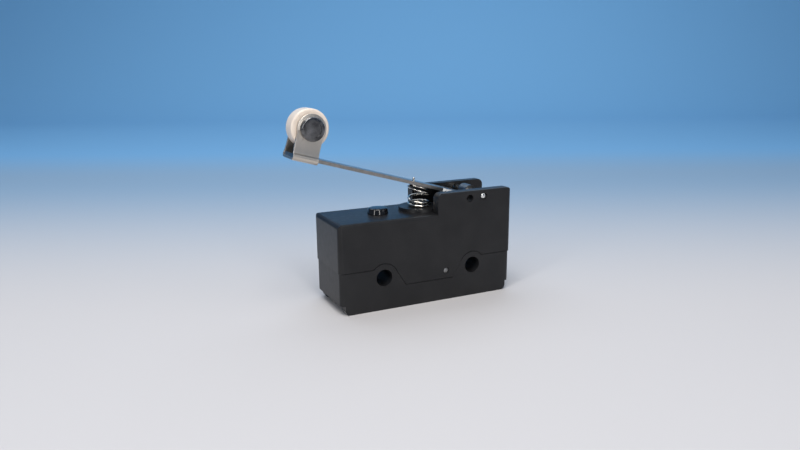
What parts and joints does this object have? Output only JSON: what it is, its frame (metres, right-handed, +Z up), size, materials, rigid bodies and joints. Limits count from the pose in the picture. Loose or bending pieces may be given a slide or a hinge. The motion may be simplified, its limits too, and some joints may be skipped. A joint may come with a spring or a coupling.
{
  "type": "roller lever micro switch",
  "caption": "Snap-action switch in a black moulded case: a hinged roller lever over a coil spring works a plunger and a contact blade, with screw terminals beneath.",
  "frame": {"origin": "midway between the two mounting holes, at mid-depth of the case", "axes": "+X along the case from the roller end to the hinge end, +Y from front to rear, +Z up"},
  "size_m": [0.0583, 0.0174, 0.0504],
  "materials": {
    "black_moulding": "satin",
    "base_moulding": "satin",
    "plug_moulding": "gloss",
    "plunger_moulding": "satin",
    "roller_plastic": "satin",
    "stainless_sheet": "satin",
    "pin_steel": "polished",
    "spring_steel": "polished",
    "rivet_steel": "polished",
    "terminal_brass": "satin",
    "screw_steel": "polished",
    "blade_bronze": "satin",
    "contact_silver": "satin"
  },
  "bodies": {
    "case": {"case_cover": "black_moulding", "base": "base_moulding", "closing_pin": "pin_steel", "top_plug": "plug_moulding", "hinge_pin": "pin_steel", "lever_spring": "spring_steel", "common_terminal": "terminal_brass", "closed_terminal": "terminal_brass", "open_terminal": "terminal_brass", "terminal_screws": "screw_steel", "terminal_washers": "screw_steel", "blade_rivet": "terminal_brass", "closed_contact": "contact_silver", "open_contact": "contact_silver"},
    "lever": {"lever": "stainless_sheet", "roller_bracket": "stainless_sheet", "roller_rivet": "rivet_steel"},
    "roller": {"roller": "roller_plastic"},
    "plunger": {"plunger": "plunger_moulding"},
    "blade": {"moving_blade": "blade_bronze", "moving_contact": "contact_silver"}
  },
  "joints": [
    {"name": "lever_hinge", "type": "hinge", "parent": "case", "child": "lever", "pos_m": [0.01599, 0, 0.01819], "axis": [0, -1, 0], "range_deg": [0, 10], "stiffness_Nm_per_rad": 0.35, "springref_deg": -5.73, "deforming": ["lever_spring"]},
    {"name": "roller_spin", "type": "hinge", "parent": "lever", "child": "roller", "pos_m": [-0.0284, 0, 0.03729], "axis": [0, 1, 0], "continuous": true},
    {"name": "plunger_slide", "type": "slide", "parent": "case", "child": "plunger", "axis": [0, 0, 1], "range_m": [0, 0.00075]},
    {"name": "blade_swing", "type": "hinge", "parent": "case", "child": "blade", "pos_m": [-0.017, 0, 0.00653], "axis": [0, -1, 0], "range_deg": [0, 1.3]}
  ],
  "couplings": [
    {"joint": "plunger_slide", "follows": "lever_hinge", "m_per_rad": 0.004},
    {"joint": "blade_swing", "follows": "lever_hinge", "ratio": 0.1105}
  ]
}
